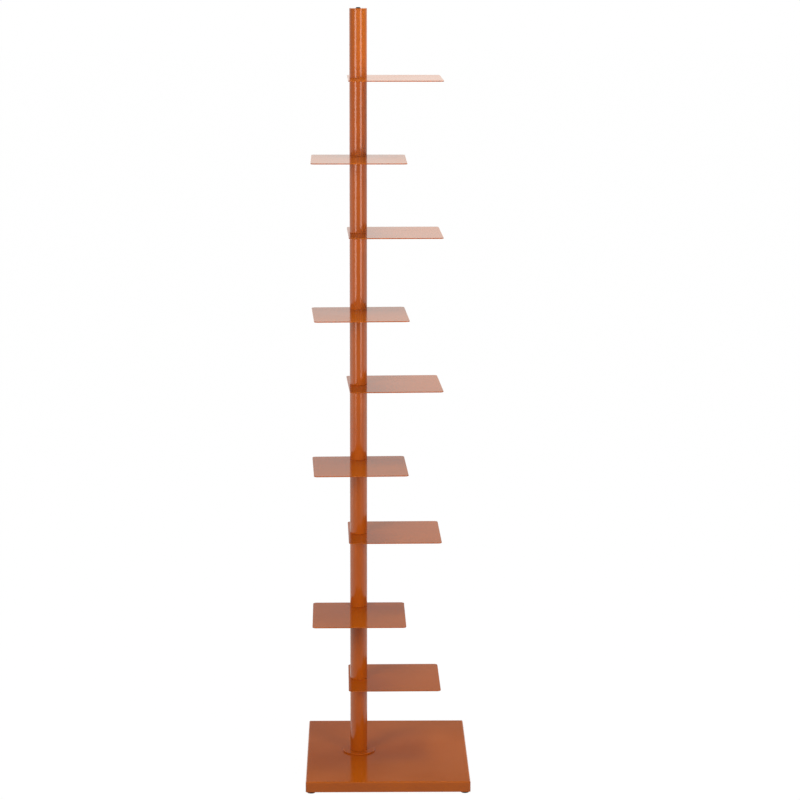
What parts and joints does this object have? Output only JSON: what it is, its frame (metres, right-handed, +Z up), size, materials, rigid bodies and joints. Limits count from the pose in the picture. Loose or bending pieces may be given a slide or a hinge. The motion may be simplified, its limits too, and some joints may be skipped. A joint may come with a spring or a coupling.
{
  "type": "spine bookshelf",
  "caption": "Free-standing spine bookshelf: a slim round steel column with thin square plates clamped in its joints, turned to the right and to the front, on a low weighted rectangular base.",
  "frame": {"origin": "on the floor, under the middle of the base", "axes": "+X to the right as the front is seen, -Y to the front, +Z up along the column"},
  "size_m": [0.358, 0.43, 1.6832],
  "materials": {
    "orange_powder_coat": "glossy orange powder coat on steel",
    "raw_steel": "mill-finish steel plate",
    "zinc_steel": "bright zinc-plated steel",
    "black_screw": "black oxide steel",
    "grey_plug": "moulded grey nylon",
    "black_foot": "moulded black plastic"
  },
  "bodies": {
    "column_and_base": {"base_tray": "orange_powder_coat", "ballast_plate": "raw_steel", "ballast_studs": "zinc_steel", "ballast_nuts": "zinc_steel", "foot_bosses": "orange_powder_coat", "column_flange": "orange_powder_coat", "anchor_washer": "zinc_steel", "anchor_nut": "zinc_steel", "tie_rod_lower": "zinc_steel", "tie_rod_middle": "zinc_steel", "tie_rod_upper": "zinc_steel", "rod_couplings": "zinc_steel", "reducing_coupling": "zinc_steel", "tube_end_plugs": "grey_plug", "top_cap": "orange_powder_coat", "top_screw": "black_screw", "column_tube_01": "orange_powder_coat", "column_tube_02": "orange_powder_coat", "column_tube_03": "orange_powder_coat", "column_tube_04": "orange_powder_coat", "column_tube_05": "orange_powder_coat", "column_tube_06": "orange_powder_coat", "column_tube_07": "orange_powder_coat", "column_tube_08": "orange_powder_coat", "column_tube_09": "orange_powder_coat", "column_tube_10": "orange_powder_coat"},
    "shelf_1": {"shelf_1": "orange_powder_coat"},
    "shelf_2": {"shelf_2": "orange_powder_coat"},
    "shelf_3": {"shelf_3": "orange_powder_coat"},
    "shelf_4": {"shelf_4": "orange_powder_coat"},
    "shelf_5": {"shelf_5": "orange_powder_coat"},
    "shelf_6": {"shelf_6": "orange_powder_coat"},
    "shelf_7": {"shelf_7": "orange_powder_coat"},
    "shelf_8": {"shelf_8": "orange_powder_coat"},
    "shelf_9": {"shelf_9": "orange_powder_coat"},
    "foot_pad_front_left": {"foot_pad_front_left": "black_foot"},
    "foot_stud_front_left": {"foot_stud_front_left": "zinc_steel"},
    "foot_pad_front_right": {"foot_pad_front_right": "black_foot"},
    "foot_stud_front_right": {"foot_stud_front_right": "zinc_steel"},
    "foot_pad_rear_left": {"foot_pad_rear_left": "black_foot"},
    "foot_stud_rear_left": {"foot_stud_rear_left": "zinc_steel"},
    "foot_pad_rear_right": {"foot_pad_rear_right": "black_foot"},
    "foot_stud_rear_right": {"foot_stud_rear_right": "zinc_steel"}
  },
  "joints": [
    {"name": "shelf_1_swivel", "type": "hinge", "parent": "column_and_base", "child": "shelf_1", "pos_m": [-0.0635, 0, 0.196], "axis": [0, 0, 1], "continuous": true},
    {"name": "shelf_2_swivel", "type": "hinge", "parent": "column_and_base", "child": "shelf_2", "pos_m": [-0.0635, 0, 0.363], "axis": [0, 0, 1], "continuous": true},
    {"name": "shelf_3_swivel", "type": "hinge", "parent": "column_and_base", "child": "shelf_3", "pos_m": [-0.0635, 0, 0.53], "axis": [0, 0, 1], "continuous": true},
    {"name": "shelf_4_swivel", "type": "hinge", "parent": "column_and_base", "child": "shelf_4", "pos_m": [-0.0635, 0, 0.697], "axis": [0, 0, 1], "continuous": true},
    {"name": "shelf_5_swivel", "type": "hinge", "parent": "column_and_base", "child": "shelf_5", "pos_m": [-0.0635, 0, 0.864], "axis": [0, 0, 1], "continuous": true},
    {"name": "shelf_6_swivel", "type": "hinge", "parent": "column_and_base", "child": "shelf_6", "pos_m": [-0.0635, 0, 1.031], "axis": [0, 0, 1], "continuous": true},
    {"name": "shelf_7_swivel", "type": "hinge", "parent": "column_and_base", "child": "shelf_7", "pos_m": [-0.0635, 0, 1.198], "axis": [0, 0, 1], "continuous": true},
    {"name": "shelf_8_swivel", "type": "hinge", "parent": "column_and_base", "child": "shelf_8", "pos_m": [-0.0635, 0, 1.365], "axis": [0, 0, 1], "continuous": true},
    {"name": "shelf_9_swivel", "type": "hinge", "parent": "column_and_base", "child": "shelf_9", "pos_m": [-0.0635, 0, 1.532], "axis": [0, 0, 1], "continuous": true},
    {"name": "foot_front_left_height", "type": "slide", "parent": "column_and_base", "child": "foot_pad_front_left", "axis": [0, 0, -1], "range_m": [0, 0.008]},
    {"name": "foot_front_left_screw", "type": "hinge", "parent": "foot_pad_front_left", "child": "foot_stud_front_left", "pos_m": [-0.167, -0.203, 0.004], "axis": [0, 0, -1], "range_deg": [0, 2305]},
    {"name": "foot_front_right_height", "type": "slide", "parent": "column_and_base", "child": "foot_pad_front_right", "axis": [0, 0, -1], "range_m": [0, 0.008]},
    {"name": "foot_front_right_screw", "type": "hinge", "parent": "foot_pad_front_right", "child": "foot_stud_front_right", "pos_m": [0.167, -0.203, 0.004], "axis": [0, 0, -1], "range_deg": [0, 2305]},
    {"name": "foot_rear_left_height", "type": "slide", "parent": "column_and_base", "child": "foot_pad_rear_left", "axis": [0, 0, -1], "range_m": [0, 0.008]},
    {"name": "foot_rear_left_screw", "type": "hinge", "parent": "foot_pad_rear_left", "child": "foot_stud_rear_left", "pos_m": [-0.167, 0.203, 0.004], "axis": [0, 0, -1], "range_deg": [0, 2305]},
    {"name": "foot_rear_right_height", "type": "slide", "parent": "column_and_base", "child": "foot_pad_rear_right", "axis": [0, 0, -1], "range_m": [0, 0.008]},
    {"name": "foot_rear_right_screw", "type": "hinge", "parent": "foot_pad_rear_right", "child": "foot_stud_rear_right", "pos_m": [0.167, 0.203, 0.004], "axis": [0, 0, -1], "range_deg": [0, 2305]}
  ],
  "couplings": [
    {"joint": "foot_front_left_screw", "follows": "foot_front_left_height", "rad_per_m": 5026.5},
    {"joint": "foot_front_right_screw", "follows": "foot_front_right_height", "rad_per_m": 5026.5},
    {"joint": "foot_rear_left_screw", "follows": "foot_rear_left_height", "rad_per_m": 5026.5},
    {"joint": "foot_rear_right_screw", "follows": "foot_rear_right_height", "rad_per_m": 5026.5}
  ]
}
